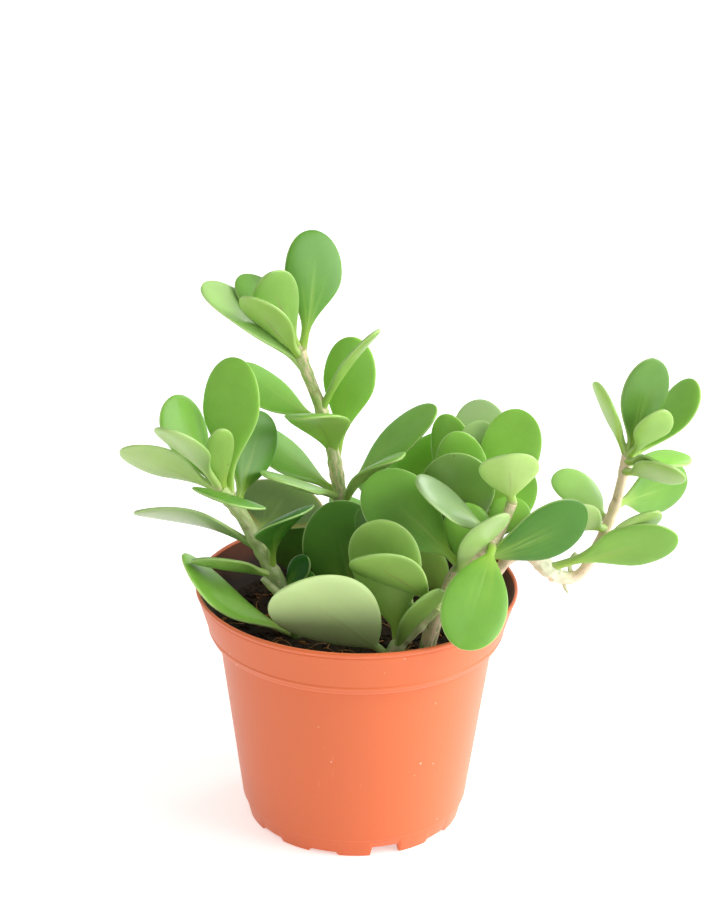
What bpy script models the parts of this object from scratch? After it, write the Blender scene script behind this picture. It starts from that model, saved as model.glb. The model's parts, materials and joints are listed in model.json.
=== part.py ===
import math

import bmesh
import bpy
from mathutils import Matrix, Vector, noise

# Lengths are metres. The plant is trained off to one side of its pot, so the pot's axis
# stands here, and the origin is the middle of the whole object's footprint on the floor.
MM = 0.001
POT_AXIS = Vector((-0.0195, -0.0099, 0.0))

# The gap between pieces that touch
CLEARANCE = 0.3 * MM

# Pot, a 12 cm moulding
POT_HEIGHT = 93 * MM
RIM_RADIUS = 60 * MM
BAND_FOOT_RADIUS = 55 * MM
BAND_HEIGHT = 18.75 * MM
WALL_TOP_RADIUS = 51.6 * MM
WALL_FOOT_RADIUS = 42.75 * MM
FOOT_TOP_RADIUS = 42.3 * MM
FOOT_RADIUS = 40.6 * MM
FOOT_HEIGHT = 7.5 * MM
FOOT_THICKNESS = 1.6 * MM
WALL_THICKNESS = 1.3 * MM
BAND_EDGE = 0.8 * MM
LIP_EDGE = 0.4 * MM
FLOOR_TOP = 9.2 * MM
FLOOR_THICKNESS = 1.5 * MM
POT_STEPS = 72

# Notches in the foot, counted round from the one that faces the front on the right
NOTCH_COUNT = 11
FIRST_NOTCH_ANGLE = 17
NOTCH_WIDTH = 10.6 * MM
NOTCH_DEPTH = 10 * MM
NOTCH_HEIGHT = 1.2 * MM
DRAIN_NOTCH_HEIGHT = 3.4 * MM
DRAIN_NOTCHES = (0, 4, 7)

# Drain holes in the floor
DRAIN_HOLE_RADIUS = 3.5 * MM
DRAIN_RING_RADIUS = 29 * MM
DRAIN_HOLE_COUNT = 8
DRAIN_HOLE_SIDES = 16

# Soil, a low dome whose top is lumpy
SOIL_EDGE_HEIGHT = 73 * MM
SOIL_CROWN_HEIGHT = 76 * MM
SOIL_DOME_SHARES = (0.85, 0.65, 0.45, 0.22)
SOIL_LUMP_HEIGHT = 1.2 * MM
SOIL_LUMP_SIZE = 11 * MM
SOIL_STEPS = 48

# Leaves: shares are along the leaf from its base. The blade starts and is widest at two of
# them, its fold grows from one to another, and the taper narrows it towards the petiole.
LEAF_THICKNESS = 2.6 * MM
TIP_THICKNESS_SHARE = 0.35
PETIOLE_WIDTH = 3.0 * MM
BLADE_START = 0.16
BLADE_WIDEST = 0.66
BLADE_TAPER = 1.35
TIP_ROUNDNESS = 2.2
FOLD_SLOPE = math.tan(math.radians(8))
FOLD_START = 0.1
FOLD_FULL = 0.4
FOLD_BALANCE = 0.35
LEAF_STATIONS = (0.0, 0.18, 0.36, 0.52, 0.66, 0.80, 0.91, 0.98)
LEAF_SIDES = 6

# Stems
STEM_SIDES = 8
STEM_STEP = 7 * MM

# Each shoot, in millimetres from the pot's axis at the floor: the points its stem passes,
# the stem's radius at the foot and at the tip, and its leaves. A leaf is its place along the
# stem (0 to 1), the heading and the rise of the line from its base to its tip and the roll of
# the blade about it in degrees, its length and width in millimetres, its arch from end to end
# in degrees and, where the blade narrows faster or slower than most, its taper.
SHOOTS = {
    "tall_shoot": {
        "stem": [
            (-1, 17, 62), (-2, 17, 84), (-5, 17, 106), (-7, 18, 122), (-10, 18, 140),
            (-14, 17, 155), (-19, 15.5, 169), (-22, 14, 179),
        ],
        "radii": (3.2, 2),
        "leaves": [
            (0.12, -122, 68, -126, 52, 30, 35),
            (0.41, 7, 38, -142, 52, 20, 20),
            (0.44, -47, 44, 8, 44, 18, 45),
            (0.47, 13, 45, 11, 51, 20, 16),
            (0.48, -138, 27, 177, 42, 18, -3),
            (0.49, 163, 33, 171, 42, 21, 8),
            (0.56, -118, 50, 13, 41, 24, 86, 2),
            (0.6, 50, 77, -153, 48, 20, 28, 2.2),
            (0.74, 156, 25, 171, 40, 20.5, 34),
            (0.78, -31, 56, 3, 43, 13, 22, 1.9),
            (0.92, -175, 41, -19, 51, 20.5, 28),
            (0.97, -135, 48, 13, 40, 18, 6),
            (0.98, 75, 64, 36, 46, 22.5, 25, 2),
            (0.99, -145, 67, 86, 35, 19, 36),
            (1, 154, 44, -4, 35, 21, 15, 1.6),
            (0.15, 170, 37, 78, 40, 26, 30, 1.2),
        ],
    },
    "left_shoot": {
        "stem": [
            (-21, -9, 62), (-22, -9, 78), (-27, -8, 93), (-31, -8, 100), (-35, -8, 109),
            (-39, -9, 117), (-42, -9, 123), (-46, -10, 129), (-50, -11, 134),
        ],
        "radii": (3.2, 2.4),
        "leaves": [
            (0.17, -165, 40, 167, 56, 23.5, 30),
            (0.49, -145, 23, 26, 36, 18, 3),
            (0.5, -67, 50, 16, 46, 23.5, 62, 2.4),
            (0.7, 76, 5, -166, 46, 35, 16, 1.6),
            (0.62, -165, 23, 35, 51, 18, 40, 1.6),
            (0.93, -89, 22, -16, 38, 27, 16, 2),
            (0.87, 71, 45, -129, 39, 20, 11),
            (0.93, 87, 68, -17, 52, 22.5, 8, 1.9),
            (0.97, -90, 77, 32, 28, 11.5, 16),
            (0.98, -170, 27, 48, 41, 20, 20),
            (1, 140, 54, 179, 38, 21, 37),
            (1, -124, 47, 3, 45, 19, 19, 2.6),
            (0.38, 10, 62, 40, 17, 9, 15),
            (0.32, 35, 52, 20, 15, 10, 15),
        ],
    },
    "front_shoot": {
        "stem": [
            (12, -33, 62), (12, -33, 76), (15.5, -33.5, 84), (22, -34, 92), (28.8, -34, 99.7),
        ],
        "radii": (3, 2.4),
        "leaves": [
            (0.37, -156, 41, 56, 54, 37.5, 21, 0.75),
            (0.3, -28, 61, -25, 40, 14.5, 16, 1.7),
            (0.77, 136, 52, 103, 47, 18, 16),
            (0.5, -165, 79, 66, 51, 26, 23, 1),
            (1, -150, 39, 38, 41, 24, 28, 1),
        ],
    },
    "right_shoot": {
        "stem": [
            (24, -24, 62), (26, -24, 78), (29, -23, 90), (34, -23.5, 104), (38, -24, 111),
            (44, -24, 116), (49, -22, 120), (52.5, -20, 126.5), (55, -19.5, 134),
        ],
        "radii": (3.4, 1.8),
        "leaves": [
            (0.546, -44, 56, -7, 39, 18.5, 16),
            (0.591, 70, 58, 22, 26, 17, 12),
            (0.617, 173, 42, -60, 47, 25.5, 38),
            (0.653, 12, 22, 101, 47, 23.5, 27),
            (0.805, -108, -30, -23, 47, 23.5, 27, 0.9),
            (1, -110, 66, 19, 24, 21.5, 16, 1),
            (0.805, 50, 40, 15, 19, 15, 12),
            (0.823, -157, 41, -27, 42, 18, 7),
        ],
    },
    "crown_shoot": {
        "stem": [
            (34, 2, 62), (36, 2, 80), (40, 1, 95), (44, 0, 107), (49, 0, 117),
        ],
        "radii": (3, 2.2),
        "leaves": [
            (0.7, 37, 50, 48, 41, 19, 12),
            (0.78, -135, 69, -137, 47, 27, 14, 1.5),
            (0.8, 128, 66, 121, 52, 18, 12, 1.5),
            (0.84, -175, 76, -89, 46, 19, 12),
            (0.9, 108, 79, -18, 44, 19, 12),
            (0.94, 97, 63, -8, 49, 22, 12),
            (0.98, 23, 75.5, 64, 46, 22, 12, 1.1),
            (0.42, 176, 45, 75, 28, 20, 12, 1.2),
        ],
    },
    "trailing_shoot": {
        "stem": [
            (44, -7, 62), (45, -7, 78), (48.5, -6.5, 93), (53.5, -6, 103.5), (60, -5, 107.5),
            (66.5, -4, 104.8), (72, -3, 99.6), (77, -2, 96.8), (82, -1, 97.5), (86, 0, 102.5),
            (89.5, 1, 110), (93.5, 3, 120), (96, 4, 129), (98.4, 5, 144),
        ],
        "radii": (2.2, 1.8),
        "leaves": [
            (0.498, -17, 24, 118, 51, 22, -7, 2.2),
            (0.711, -45, 40, -19, 34, 16, -15),
            (0.764, -140, 31, -131, 27, 16, 21),
            (0.79, 119, 18, -177, 32, 19, 25, 1.2),
            (0.833, 41, 0, -89, 40, 22, 26, 1.3),
            (0.949, -55, 19, 140, 31, 17.5, 9),
            (0.97, 28, -5, 4, 29, 14, 6),
            (0.98, 24, 46, -172, 39, 18, 34),
            (0.985, -17, 79, 133, 40.5, 20, 7),
            (0.99, -43, 57, 158, 26, 15.5, 30, 2.6),
            (0.995, 173, 65, 24, 31, 17, 4),
            (0.975, -58, 12, -41, 25, 12.5, 13),
        ],
    },
    "rear_shoot": {
        "stem": [
            (14, 34, 62), (14, 35, 76), (16, 40, 86), (20, 45, 93), (25, 50, 99),
        ],
        "radii": (2.6, 2),
        "leaves": [
            (0.6, 152, 16, 10, 32, 19, 20),
            (0.68, 92, 12, -10, 40, 21, 25),
            (0.7, 20, 14, 15, 35, 19, 20),
            (0.78, 168, 22, 5, 34, 19, 15),
            (0.86, 64, 20, 15, 40, 20, 20),
            (0.9, 122, 18, -15, 38, 20, 20),
            (0.95, 20, 28, 10, 34, 18, 15),
            (1, 88, 42, 0, 26, 14, 12),
        ],
    },
}


def clear_scene():
    for obj in list(bpy.data.objects):
        bpy.data.objects.remove(obj, do_unlink=True)


def new_material(name, colour, roughness, subsurface=0.0):
    material = bpy.data.materials.new(name)
    material.use_nodes = True
    shader = material.node_tree.nodes["Principled BSDF"]
    shader.inputs["Base Color"].default_value = (*colour, 1.0)
    shader.inputs["Roughness"].default_value = roughness
    shader.inputs["Metallic"].default_value = 0.0
    shader.inputs["Subsurface Weight"].default_value = subsurface
    return material


def add_object(name, bm, material=None, crease=35):
    """Make an object of the bmesh, with its faces out and its round parts smooth."""
    bmesh.ops.recalc_face_normals(bm, faces=bm.faces)
    mesh = bpy.data.meshes.new(name)
    bm.to_mesh(mesh)
    bm.free()
    mesh.shade_smooth()
    mesh.set_sharp_from_angle(angle=math.radians(crease))
    if material:
        mesh.materials.append(material)
    obj = bpy.data.objects.new(name, mesh)
    bpy.context.scene.collection.objects.link(obj)
    return obj


def new_collection(name):
    collection = bpy.data.collections.new(name)
    bpy.context.scene.collection.children.link(collection)
    return collection


def move_to(collection, obj):
    for holder in list(obj.users_collection):
        holder.objects.unlink(obj)
    collection.objects.link(obj)


def as_cutter(obj):
    obj.hide_render = True
    obj.display_type = "WIRE"


def turned(profile, steps):
    """Turn a profile of (radius, height) pairs, whose ends lie on the axis, about Z."""
    bm = bmesh.new()
    points = [bm.verts.new((radius, 0.0, height)) for radius, height in profile]
    edges = [bm.edges.new(pair) for pair in zip(points, points[1:])]
    bmesh.ops.spin(
        bm,
        geom=points + edges,
        cent=(0.0, 0.0, 0.0),
        axis=(0.0, 0.0, 1.0),
        angle=math.tau,
        steps=steps,
        use_merge=True,
    )
    bmesh.ops.remove_doubles(bm, verts=bm.verts, dist=0.001 * MM)
    return bm


def loft(bm, rings):
    """Skin a row of rings that have the same number of points, and close both ends."""
    loops = [[bm.verts.new(point) for point in ring] for ring in rings]
    count = len(loops[0])
    for lower, upper in zip(loops, loops[1:]):
        for i in range(count):
            j = (i + 1) % count
            bm.faces.new((lower[i], lower[j], upper[j], upper[i]))
    bm.faces.new(reversed(loops[0]))
    bm.faces.new(loops[-1])


def wall_radius(height):
    """Outer radius of the tapered wall."""
    share = (height - FOOT_HEIGHT) / (POT_HEIGHT - BAND_HEIGHT - FOOT_HEIGHT)
    return WALL_FOOT_RADIUS + share * (WALL_TOP_RADIUS - WALL_FOOT_RADIUS)


def pot_profile():
    """The moulding from its underside, up the outside, over the lip and down the inside."""
    step = POT_HEIGHT - BAND_HEIGHT
    foot_inside = FOOT_RADIUS - FOOT_THICKNESS
    band_inside = BAND_FOOT_RADIUS - WALL_THICKNESS
    lip_inside = RIM_RADIUS - WALL_THICKNESS
    return [
        (0.0, FLOOR_TOP - FLOOR_THICKNESS),
        (foot_inside, FLOOR_TOP - FLOOR_THICKNESS),
        (foot_inside, 0.0),
        (FOOT_RADIUS, 0.0),
        (FOOT_TOP_RADIUS, FOOT_HEIGHT - LIP_EDGE / 2),
        (WALL_FOOT_RADIUS, FOOT_HEIGHT),
        (WALL_TOP_RADIUS, step),
        (BAND_FOOT_RADIUS - BAND_EDGE, step),
        (BAND_FOOT_RADIUS, step + BAND_EDGE),
        (RIM_RADIUS - LIP_EDGE, POT_HEIGHT - 3 * LIP_EDGE),
        (RIM_RADIUS, POT_HEIGHT - LIP_EDGE),
        (RIM_RADIUS - LIP_EDGE, POT_HEIGHT),
        (lip_inside, POT_HEIGHT),
        (band_inside, step + WALL_THICKNESS),
        (wall_radius(step) - WALL_THICKNESS, step),
        (wall_radius(FLOOR_TOP) - WALL_THICKNESS, FLOOR_TOP),
        (0.0, FLOOR_TOP),
    ]


def foot_notches(collection):
    """Boxes across the foot ring, three of them taller than the rest."""
    for i in range(NOTCH_COUNT):
        height = DRAIN_NOTCH_HEIGHT if i in DRAIN_NOTCHES else NOTCH_HEIGHT
        angle = math.radians(FIRST_NOTCH_ANGLE - 90 + i * 360 / NOTCH_COUNT)
        bm = bmesh.new()
        bmesh.ops.create_cube(bm, size=1.0)
        size = (NOTCH_DEPTH, NOTCH_WIDTH, 2 * height)
        bmesh.ops.scale(bm, verts=bm.verts, vec=size)
        bmesh.ops.translate(bm, verts=bm.verts, vec=(FOOT_RADIUS, 0.0, 0.0))
        bmesh.ops.rotate(bm, verts=bm.verts, matrix=Matrix.Rotation(angle, 3, "Z"))
        cutter = add_object(f"notch_{i}", bm)
        move_to(collection, cutter)
        as_cutter(cutter)


def drain_holes(collection):
    """A ring of round holes in the floor, and one in the middle."""
    places = [Vector((0.0, 0.0, FLOOR_TOP))]
    for i in range(DRAIN_HOLE_COUNT):
        turn = Matrix.Rotation(math.tau * i / DRAIN_HOLE_COUNT, 3, "Z")
        places.append(turn @ Vector((DRAIN_RING_RADIUS, 0.0, FLOOR_TOP)))
    for i, place in enumerate(places):
        bm = bmesh.new()
        bmesh.ops.create_cone(
            bm,
            cap_ends=True,
            segments=DRAIN_HOLE_SIDES,
            radius1=DRAIN_HOLE_RADIUS,
            radius2=DRAIN_HOLE_RADIUS,
            depth=4 * FLOOR_THICKNESS,
        )
        bmesh.ops.translate(bm, verts=bm.verts, vec=place)
        cutter = add_object(f"drain_hole_{i}", bm)
        move_to(collection, cutter)
        as_cutter(cutter)


def cut_by(obj, collection):
    cut = obj.modifiers.new("Cut", "BOOLEAN")
    cut.operation = "DIFFERENCE"
    cut.operand_type = "COLLECTION"
    cut.collection = collection


def build_pot():
    plastic = new_material("pot plastic", (0.78, 0.19, 0.075), 0.42)
    pot = add_object("pot", turned(pot_profile(), POT_STEPS), plastic)
    cutters = new_collection("pot cutters")
    foot_notches(cutters)
    drain_holes(cutters)
    cut_by(pot, cutters)


def soil_profile():
    """The root ball from its underside, up its side and over a low crown."""
    floor = FLOOR_TOP + CLEARANCE
    inset = WALL_THICKNESS + CLEARANCE
    edge = wall_radius(SOIL_EDGE_HEIGHT) - inset
    profile = [(0.0, floor), (wall_radius(floor) - inset, floor), (edge, SOIL_EDGE_HEIGHT)]
    rise = SOIL_CROWN_HEIGHT - SOIL_EDGE_HEIGHT
    for share in SOIL_DOME_SHARES:
        profile.append((edge * share, SOIL_EDGE_HEIGHT + rise * (1 - share**2)))
    return profile + [(0.0, SOIL_CROWN_HEIGHT)]


def build_soil(paths):
    compost = new_material("soil", (0.035, 0.02, 0.012), 0.95)
    bm = turned(soil_profile(), SOIL_STEPS)
    for vert in bm.verts:
        if vert.co.z > SOIL_EDGE_HEIGHT + 0.1 * MM:
            lump = noise.noise(vert.co / SOIL_LUMP_SIZE)
            vert.co.z += lump * SOIL_LUMP_HEIGHT
    soil = add_object("soil", bm, compost)
    holes = new_collection("stem holes")
    for name, (path, radii) in paths.items():
        start = path[0] - (path[1] - path[0]).normalized() * CLEARANCE
        wide = [radius + CLEARANCE for radius in radii]
        bm = bmesh.new()
        loft(bm, tube_rings([start, *path[1:]], wide))
        hole = add_object(f"{name}_hole", bm)
        move_to(holes, hole)
        as_cutter(hole)
    cut_by(soil, holes)


def smooth_path(points, step):
    """Points about one step apart along a Catmull-Rom curve through the given ones."""
    ends = [2 * points[0] - points[1], *points, 2 * points[-1] - points[-2]]
    dense = []
    for a, b, c, d in zip(ends, ends[1:], ends[2:], ends[3:]):
        for i in range(20):
            t = i / 20
            dense.append(
                0.5 * (2 * b + (c - a) * t + (2 * a - 5 * b + 4 * c - d) * t**2)
                + 0.5 * (3 * b - a - 3 * c + d) * t**3
            )
    dense.append(points[-1])
    lengths = [0.0]
    for a, b in zip(dense, dense[1:]):
        lengths.append(lengths[-1] + (b - a).length)
    count = max(2, round(lengths[-1] / step))
    return [point_at(dense, lengths, i / count) for i in range(count + 1)]


def point_at(dense, lengths, share):
    target = share * lengths[-1]
    i = max(1, next(k for k, reach in enumerate(lengths) if reach >= target - 1e-9))
    part = (target - lengths[i - 1]) / (lengths[i] - lengths[i - 1])
    return dense[i - 1].lerp(dense[i], part)


def tube_rings(path, radii):
    """Round rings across the path, with a radius for each of its points."""
    rings = []
    over = Vector((1.0, 0.0, 0.0))
    for i, point in enumerate(path):
        ahead = (path[min(i + 1, len(path) - 1)] - path[max(i - 1, 0)]).normalized()
        # Carried on from the last ring, so that the tube doesn't twist
        over = (over - over.dot(ahead) * ahead).normalized()
        across = ahead.cross(over)
        ring = []
        for k in range(STEM_SIDES):
            turn = math.tau * k / STEM_SIDES
            ring.append(point + radii[i] * (math.cos(turn) * over + math.sin(turn) * across))
        rings.append(ring)
    return rings


def blade_half_width(share, width, taper):
    """Half the width of a leaf at a share of its length: a petiole, then an oval paddle."""
    if share >= BLADE_WIDEST:
        rest = (share - BLADE_WIDEST) / (1 - BLADE_WIDEST)
        return width / 2 * math.sqrt(1 - rest**TIP_ROUNDNESS)
    petiole = PETIOLE_WIDTH / width
    grown = max(0.0, share - BLADE_START) / (BLADE_WIDEST - BLADE_START)
    return width / 2 * (petiole + (1 - petiole) * math.sin(math.pi / 2 * grown) ** taper)


def leaf_rings(base, heading, rise, roll, length, width, bend, taper):
    """Rings across a leaf that runs from its base along the heading and the rise.

    The roll turns the blade about that line, and the bend arches it."""
    heading, rise, roll, bend = (math.radians(angle) for angle in (heading, rise, roll, bend))
    flat = Vector((math.cos(heading), math.sin(heading), 0.0))
    along = math.cos(rise) * flat + math.sin(rise) * Vector((0.0, 0.0, 1.0))
    upright = math.cos(rise) * Vector((0.0, 0.0, 1.0)) - math.sin(rise) * flat
    up = math.cos(roll) * upright + math.sin(roll) * along.cross(upright)
    side = along.cross(up)
    radius = length / (2 * math.sin(bend / 2))
    rings = []
    for share in LEAF_STATIONS:
        angle = bend * (share - 0.5)
        centre = base + along * radius * (math.sin(angle) + math.sin(bend / 2))
        centre += up * radius * (math.cos(angle) - math.cos(bend / 2))
        face = up * math.cos(angle) + along * math.sin(angle)
        half = blade_half_width(share, width, taper)
        folded = min(1.0, max(0.0, (share - FOLD_START) / (FOLD_FULL - FOLD_START)))
        thickness = LEAF_THICKNESS
        if share > BLADE_WIDEST:
            left = math.sqrt(2 * half / width)
            thickness *= TIP_THICKNESS_SHARE + (1 - TIP_THICKNESS_SHARE) * left
        ring = []
        for k in range(LEAF_SIDES):
            turn = math.tau * k / LEAF_SIDES
            across = -math.cos(turn) * half
            lift = (abs(across) - FOLD_BALANCE * half) * FOLD_SLOPE * folded
            height = math.sin(turn) * thickness / 2 + lift
            ring.append(centre + side * across + face * height)
        rings.append(ring)
    return rings


def build_shoot(name, shoot, material):
    """Fuse the leaves into their stem. Returns the stem's path and its radii."""
    knots = [Vector(point) * MM for point in shoot["stem"]]
    path = smooth_path(knots, STEM_STEP)
    foot, tip = (radius * MM for radius in shoot["radii"])
    last = len(path) - 1
    radii = [foot + (tip - foot) * i / last for i in range(last + 1)]
    fine = smooth_path(knots, STEM_STEP / 20)
    bm = bmesh.new()
    loft(bm, tube_rings(path, radii))
    stem = add_object(name, bm, material)
    leaves = new_collection(f"{name} leaves")
    for i, leaf in enumerate(shoot["leaves"]):
        share, heading, rise, roll, length, width, bend, *more = leaf
        base = fine[round(share * (len(fine) - 1))]
        taper = more[0] if more else BLADE_TAPER
        bm = bmesh.new()
        loft(bm, leaf_rings(base, heading, rise, roll, length * MM, width * MM, bend, taper))
        move_to(leaves, add_object(f"{name}_leaf_{i}", bm, material))
    union = stem.modifiers.new("Leaves", "BOOLEAN")
    union.operation = "UNION"
    union.operand_type = "COLLECTION"
    union.collection = leaves
    with bpy.context.temp_override(object=stem, active_object=stem):
        bpy.ops.object.modifier_apply(modifier=union.name)
    for leaf in list(leaves.objects):
        bpy.data.objects.remove(leaf, do_unlink=True)
    bpy.data.collections.remove(leaves)
    return path, radii


def main():
    clear_scene()
    build_pot()
    green = new_material("leaf", (0.13, 0.36, 0.05), 0.38, subsurface=0.1)
    paths = {}
    for name, shoot in SHOOTS.items():
        paths[name] = build_shoot(name, shoot, green)
    build_soil(paths)
    for obj in bpy.data.objects:
        obj.location = POT_AXIS


main()
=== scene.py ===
import json
import math
import random

import bmesh
import bpy
from mathutils import Matrix, Vector, noise

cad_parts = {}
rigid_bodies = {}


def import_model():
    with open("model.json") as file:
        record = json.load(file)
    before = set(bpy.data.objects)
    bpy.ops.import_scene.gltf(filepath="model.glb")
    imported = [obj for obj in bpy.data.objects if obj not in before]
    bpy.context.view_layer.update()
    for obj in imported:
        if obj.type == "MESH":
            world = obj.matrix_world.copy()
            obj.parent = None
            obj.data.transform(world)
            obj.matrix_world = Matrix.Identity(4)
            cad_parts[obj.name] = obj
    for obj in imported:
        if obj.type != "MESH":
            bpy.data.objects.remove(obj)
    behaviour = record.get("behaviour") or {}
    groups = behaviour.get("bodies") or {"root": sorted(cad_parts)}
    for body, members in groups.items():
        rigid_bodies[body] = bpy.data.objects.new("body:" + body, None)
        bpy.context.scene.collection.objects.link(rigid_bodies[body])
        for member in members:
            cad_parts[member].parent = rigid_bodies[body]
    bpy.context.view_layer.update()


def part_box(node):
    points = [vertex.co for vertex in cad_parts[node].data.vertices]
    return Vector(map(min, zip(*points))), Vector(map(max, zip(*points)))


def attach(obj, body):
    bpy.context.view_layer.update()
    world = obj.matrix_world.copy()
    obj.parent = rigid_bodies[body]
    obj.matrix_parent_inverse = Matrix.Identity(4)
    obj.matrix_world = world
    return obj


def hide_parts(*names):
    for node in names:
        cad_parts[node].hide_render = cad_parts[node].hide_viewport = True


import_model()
mm = 0.001

# the pot, the plant, the soil and the camera are laid out from the pot's axis at the floor
potLow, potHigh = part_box("pot")
potAxis = Vector(((potLow.x + potHigh.x) / 2, (potLow.y + potHigh.y) / 2, 0.0))


# small helpers for node trees

def addNode(tree, kind, inputs=None, **settings):
    node = tree.nodes.new(kind)
    for name, value in settings.items():
        setattr(node, name, value)
    for name, value in (inputs or {}).items():
        if isinstance(value, bpy.types.NodeSocket):
            tree.links.new(value, node.inputs[name])
        else:
            node.inputs[name].default_value = value
    return node


def mathNode(tree, operation, a, b=0.0, clamp=False):
    node = addNode(tree, "ShaderNodeMath", {0: a, 1: b}, operation=operation, use_clamp=clamp)
    return node.outputs[0]


def times(tree, a, b):
    return mathNode(tree, "MULTIPLY", a, b)


def plus(tree, a, b):
    return mathNode(tree, "ADD", a, b)


def minus(tree, a, b):
    return mathNode(tree, "SUBTRACT", a, b)


def stepNode(tree, value, low, high, toLow=0.0, toHigh=1.0):
    return addNode(
        tree, "ShaderNodeMapRange",
        {"Value": value, "From Min": low, "From Max": high, "To Min": toLow, "To Max": toHigh},
        interpolation_type="SMOOTHSTEP",
    ).outputs["Result"]


def mixColour(tree, factor, first, second, blend="MIX"):
    node = addNode(tree, "ShaderNodeMix", data_type="RGBA", blend_type=blend)
    for index, value in ((0, factor), (6, first), (7, second)):
        if isinstance(value, bpy.types.NodeSocket):
            tree.links.new(value, node.inputs[index])
        elif index:
            node.inputs[index].default_value = (*value, 1.0)
        else:
            node.inputs[index].default_value = value
    return node.outputs[2]


def noiseNode(tree, vector, scale, detail=2.0, roughness=0.5, distortion=0.0):
    return addNode(
        tree, "ShaderNodeTexNoise",
        {"Vector": vector, "Scale": scale, "Detail": detail, "Roughness": roughness,
         "Distortion": distortion},
    ).outputs["Fac"]


def bumpNode(tree, height, strength, distance):
    inputs = {"Height": height, "Strength": strength, "Distance": distance}
    return addNode(tree, "ShaderNodeBump", inputs).outputs[0]


def attributeNode(tree, name, output="Vector"):
    return addNode(tree, "ShaderNodeAttribute", attribute_name=name).outputs[output]


def splitVector(tree, vector):
    return addNode(tree, "ShaderNodeSeparateXYZ", {0: vector}).outputs[:3]


def objectPlace(tree):
    return addNode(tree, "ShaderNodeTexCoord").outputs["Object"]


def setValues(sockets, values):
    for name, value in values.items():
        sockets[name].default_value = value


def newGroup(name, inputs, outputs):
    tree = bpy.data.node_groups.new(name, "ShaderNodeTree")
    for socketName, kind, value in inputs:
        socket = tree.interface.new_socket(socketName, in_out="INPUT", socket_type=kind)
        if value is not None:
            socket.default_value = value
    for socketName, kind in outputs:
        tree.interface.new_socket(socketName, in_out="OUTPUT", socket_type=kind)
    return tree, tree.nodes.new("NodeGroupInput").outputs, tree.nodes.new("NodeGroupOutput").inputs


def useGroup(tree, group, inputs):
    return addNode(tree, "ShaderNodeGroup", inputs, node_tree=group).outputs


def newMaterial(name):
    material = bpy.data.materials.new(name)
    material.use_nodes = True
    tree = material.node_tree
    return material, tree, tree.nodes["Principled BSDF"].inputs


# scattered specks: pores on the leaves, scuffs on the pot, lenticels on the stems
def makeSpeckGroup():
    tree, given, result = newGroup(
        "specks",
        [("Vector", "NodeSocketVector", None), ("Scale", "NodeSocketFloat", 900.0),
         ("Size", "NodeSocketFloat", 0.3), ("Share", "NodeSocketFloat", 0.3)],
        [("Mask", "NodeSocketFloat")],
    )
    cells = addNode(
        tree, "ShaderNodeTexVoronoi", {"Vector": given["Vector"], "Scale": given["Scale"]})
    dot = addNode(
        tree, "ShaderNodeMapRange",
        {"Value": cells.outputs["Distance"], "From Min": given["Size"], "From Max": 0.0},
    ).outputs["Result"]
    shades = addNode(tree, "ShaderNodeSeparateColor", {"Color": cells.outputs["Color"]}).outputs
    chosen = mathNode(tree, "LESS_THAN", shades["Red"], given["Share"])
    tree.links.new(times(tree, dot, chosen), result["Mask"])
    return tree


# soft drift and fine mottle of a living or moulded skin, around 1
def makeMottleGroup():
    tree, given, result = newGroup(
        "mottle",
        [("Vector", "NodeSocketVector", None), ("Broad Scale", "NodeSocketFloat", 60.0),
         ("Fine Scale", "NodeSocketFloat", 900.0), ("Broad", "NodeSocketFloat", 0.2),
         ("Fine", "NodeSocketFloat", 0.1)],
        [("Value", "NodeSocketFloat"), ("Grain", "NodeSocketFloat")],
    )
    broad = noiseNode(tree, given["Vector"], given["Broad Scale"], 3.0)
    fine = noiseNode(tree, given["Vector"], given["Fine Scale"], 3.0, 0.6)
    broadPart = times(tree, minus(tree, broad, 0.5), given["Broad"])
    finePart = times(tree, minus(tree, fine, 0.5), given["Fine"])
    tree.links.new(plus(tree, plus(tree, broadPart, finePart), 1.0), result["Value"])
    tree.links.new(fine, result["Grain"])
    return tree


speckGroup = makeSpeckGroup()
mottleGroup = makeMottleGroup()


def shadeColour(tree, colour, value):
    grey = addNode(tree, "ShaderNodeCombineColor", {"Red": value, "Green": value, "Blue": value})
    return mixColour(tree, 1.0, colour, grey.outputs[0], "MULTIPLY")


# leaf skin. leafPlace holds across (-1 to 1), share (0 base to 1 tip) and side (-1 under to
# 1 upper), leafEdge the distance to the margin in mm, leafTone (tone, rib, bloom), where the
# bloom is partly painted sheen

leafLook = {
    # ends of the tone scale: the dark ends are partly painted shade, and the bright under end is
    # partly painted light on the undersides
    "upperDark": (0.012, 0.12, 0.003),
    "upperBright": (0.27, 0.57, 0.075),
    "underDark": (0.016, 0.14, 0.004),
    "underBright": (0.5, 0.76, 0.18),
    # a pale dusty bloom, which also paints sheen and light on some leaves
    "bloomAndSheen": (0.62, 0.76, 0.42),
    "olive": (0.085, 0.13, 0.01),
    "oliveRim": (0.42, 0.33, 0.06),
    # pale margin colour, also used for the pale midrib line; on the margin it partly paints rim
    # light
    "margin": (0.5, 0.66, 0.25),
    "neck": (0.36, 0.55, 0.08),
    "foot": (0.5, 0.5, 0.24),
    "rib": (0.28, 0.19, 0.08),
    "pore": (0.36, 0.6, 0.1),
    "blemish": (0.12, 0.1, 0.025),
    "mottle": {"Broad Scale": 75.0, "Fine Scale": 1500.0, "Broad": 0.42, "Fine": 0.12},
    "pores": {"Scale": 1400.0, "Size": 0.32, "Share": 0.5},
    "blemishes": {"Scale": 75.0, "Size": 0.05, "Share": 0.16},
    "bloomSheenStrength": 0.8,
    "rimWidth": 0.55,
    "oliveRimWidth": 3.0,
    "ribWidth": 0.075,
    "neckShare": 0.4,
    "footShare": 0.1,
    "roughness": 0.36,
    "specular": 0.3,
    "coat": 0.08,
    "bloomCoat": 0.6,
    "subsurface": 0.2,
    "subsurfaceReach": 2.0 * mm,
    "relief": 0.1 * mm,
}


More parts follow.
